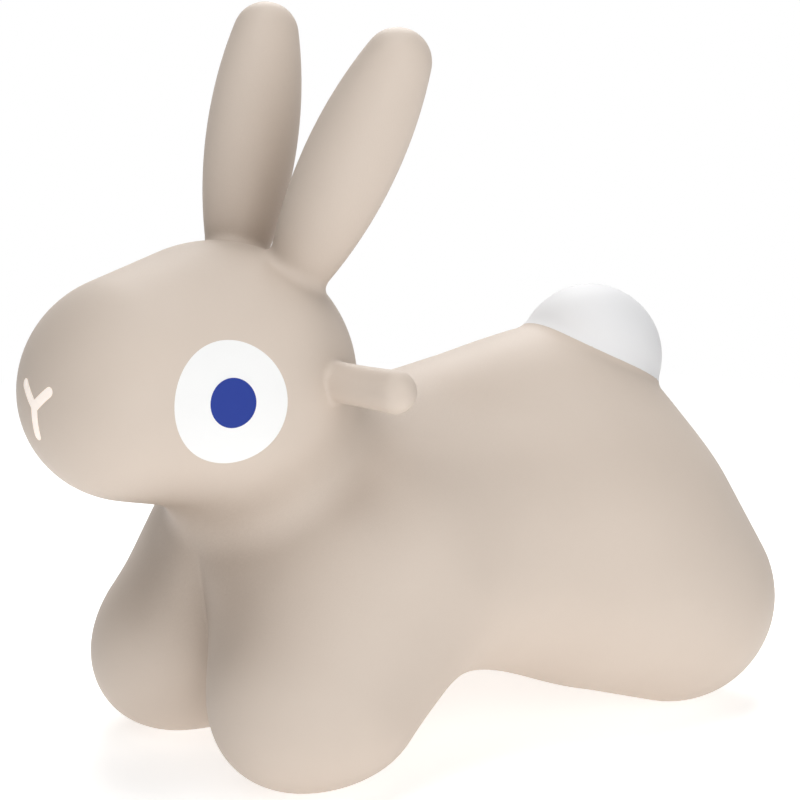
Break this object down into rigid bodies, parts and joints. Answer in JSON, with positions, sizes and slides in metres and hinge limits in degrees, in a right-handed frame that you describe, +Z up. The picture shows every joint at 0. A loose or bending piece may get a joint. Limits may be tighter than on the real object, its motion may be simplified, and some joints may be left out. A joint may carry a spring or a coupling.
{
  "type": "hopper rabbit",
  "caption": "Inflatable ride-on hopper in the shape of a crouching rabbit: hollow soft skin, side hand grips behind the eyes, round tail and a pull-out air plug under the belly.",
  "frame": {"origin": "on the floor under the middle of the toy's box, in its middle plane", "axes": "+Z up, the face looks towards -Y, the rabbit's left side is +X"},
  "size_m": [0.3388, 0.5414, 0.5],
  "materials": {
    "skin": "matte moulded PVC, warm beige",
    "tail_coat": "sprayed matte white",
    "eye_white": "printed white, satin",
    "pupil": "printed blue, satin",
    "nose_mark": "printed cream, satin",
    "plug": "soft moulded plastic, off-white"
  },
  "bodies": {
    "skin": {"body": "skin", "head": "skin", "foreleg_left": "skin", "foreleg_right": "skin", "hind_leg_left": "skin", "hind_leg_right": "skin", "ear_left": "skin", "ear_right": "skin", "grip_left": "skin", "grip_right": "skin", "tail": "skin", "tail_coat": "tail_coat", "eye_white_left": "eye_white", "eye_white_right": "eye_white", "pupil_left": "pupil", "pupil_right": "pupil", "nose_mark": "nose_mark"},
    "plug": {"valve_plug": "plug"}
  },
  "joints": [
    {"name": "plug_pull", "type": "slide", "parent": "skin", "child": "plug", "axis": [0, 0, -1], "range_m": [0, 0.02]}
  ]
}
